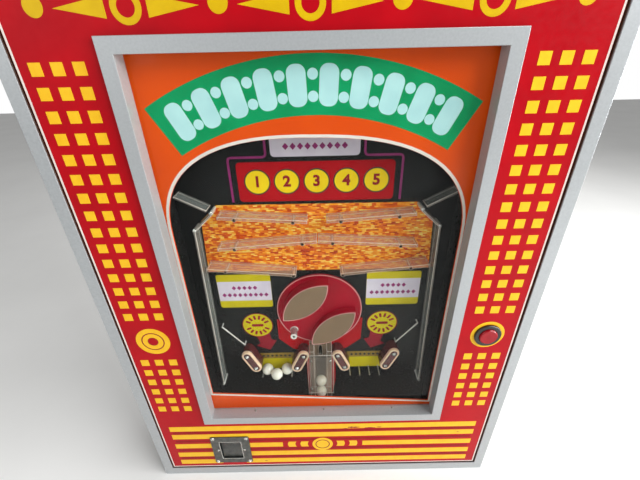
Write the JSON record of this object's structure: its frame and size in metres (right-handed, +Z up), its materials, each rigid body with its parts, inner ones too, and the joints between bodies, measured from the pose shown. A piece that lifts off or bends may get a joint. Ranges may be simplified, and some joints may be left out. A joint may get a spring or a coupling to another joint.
{
  "type": "pachinko machine",
  "caption": "Upright coin-operated ball-drop game in a wooden case with a hinged, framed glass door, playfield, turning selector disc, ramps and ball trays.",
  "frame": {"origin": "on the floor under the middle of the whole machine, the push button included", "axes": "+Z up, -Y out of the front, +X towards the player's right"},
  "size_m": [0.68, 0.2568, 0.99],
  "materials": {
    "walnut_laminate": "satin",
    "crimson_paint": "satin",
    "anodised_aluminium": "satin",
    "window_glass": "clear",
    "orange_mask_print": "printed",
    "dull_steel": "satin",
    "chrome": "polished",
    "black_plastic": "satin",
    "red_plastic": "glossy",
    "black_board": "satin",
    "clear_acrylic": "clear",
    "disc_red": "printed",
    "beige_print": "printed",
    "plum_plastic": "glossy",
    "cream_rubber": "matt",
    "white_ball_plastic": "glossy",
    "zinc_sheet": "satin"
  },
  "bodies": {
    "cabinet": {"side_panel_left": "walnut_laminate", "side_panel_right": "walnut_laminate", "bottom_panel": "walnut_laminate", "top_panel": "walnut_laminate", "back_panel": "walnut_laminate", "edge_trim": "anodised_aluminium", "door_pivot_lower": "dull_steel", "door_pivot_upper": "dull_steel", "deflector_wire_left": "dull_steel", "deflector_wire_right": "dull_steel", "door_lock": "chrome", "ball_switch": "black_plastic", "playfield_board": "black_board", "play_box": "black_board", "ramp_top_left": "clear_acrylic", "ramp_top_right": "clear_acrylic", "ramp_middle_left": "clear_acrylic", "ramp_middle_right": "clear_acrylic", "ramp_bottom_left": "clear_acrylic", "ramp_bottom_right": "clear_acrylic", "side_guide_left": "clear_acrylic", "side_guide_right": "clear_acrylic", "entry_guide_left": "clear_acrylic", "entry_guide_right": "clear_acrylic", "ball_chute": "clear_acrylic", "chute_cover": "clear_acrylic", "bumper_inner_left": "plum_plastic", "bumper_inner_right": "plum_plastic", "bumper_outer_left": "plum_plastic", "bumper_outer_right": "plum_plastic", "rubber_inner_left": "cream_rubber", "rubber_inner_right": "cream_rubber", "rubber_outer_left": "cream_rubber", "rubber_outer_right": "cream_rubber", "ball_1": "white_ball_plastic", "ball_2": "white_ball_plastic", "ball_3": "white_ball_plastic", "ball_4": "white_ball_plastic", "ball_5": "white_ball_plastic", "gear_motor": "zinc_sheet", "cash_box": "zinc_sheet"},
    "front_door": {"front_panel": "crimson_paint", "window_frame": "anodised_aluminium", "window_glass": "window_glass", "window_mask": "orange_mask_print", "coin_cup": "dull_steel", "button_bezel": "black_plastic", "coin_acceptor": "dull_steel", "lock_keeper": "dull_steel"},
    "coin_flap": {"coin_flap": "dull_steel"},
    "push_button": {"push_button": "red_plastic"},
    "selector": {"selector_disc": "disc_red", "island_upper": "beige_print", "island_lower": "beige_print", "disc_post": "chrome", "disc_shaft": "dull_steel"},
    "comb_left": {"pin_comb_left": "dull_steel"},
    "comb_right": {"pin_comb_right": "dull_steel"},
    "ball_lever": {"switch_lever": "dull_steel"},
    "lock_cam": {"lock_cam": "dull_steel"}
  },
  "joints": [
    {"name": "door_hinge", "type": "hinge", "parent": "cabinet", "child": "front_door", "pos_m": [-0.3145, -0.1161, 0.5], "axis": [0, 0, -1], "range_deg": [0, 100]},
    {"name": "coin_flap_hinge", "type": "hinge", "parent": "front_door", "child": "coin_flap", "pos_m": [-0.187, -0.12025, 0.1072], "axis": [1, 0, 0], "range_deg": [0, 70]},
    {"name": "button_slide", "type": "slide", "parent": "front_door", "child": "push_button", "axis": [0, 1, 0], "range_m": [0, 0.004], "stiffness_N_per_m": 400, "springref_m": -0.001},
    {"name": "disc_turn", "type": "hinge", "parent": "cabinet", "child": "selector", "pos_m": [0, -0.0616, 0.389], "axis": [0, -1, 0], "continuous": true},
    {"name": "comb_left_slide", "type": "slide", "parent": "cabinet", "child": "comb_left", "axis": [0, 1, 0], "range_m": [0, 0.024]},
    {"name": "comb_right_slide", "type": "slide", "parent": "cabinet", "child": "comb_right", "axis": [0, 1, 0], "range_m": [0, 0.024]},
    {"name": "lever_hinge", "type": "hinge", "parent": "cabinet", "child": "ball_lever", "pos_m": [0, -0.0316, 0.26], "axis": [-1, 0, 0], "range_deg": [0, 12], "stiffness_Nm_per_rad": 0.02, "springref_deg": -5.73},
    {"name": "lock_turn", "type": "hinge", "parent": "cabinet", "child": "lock_cam", "pos_m": [0.325, -0.0696, 0.56], "axis": [-1, 0, 0], "range_deg": [0, 90]}
  ]
}
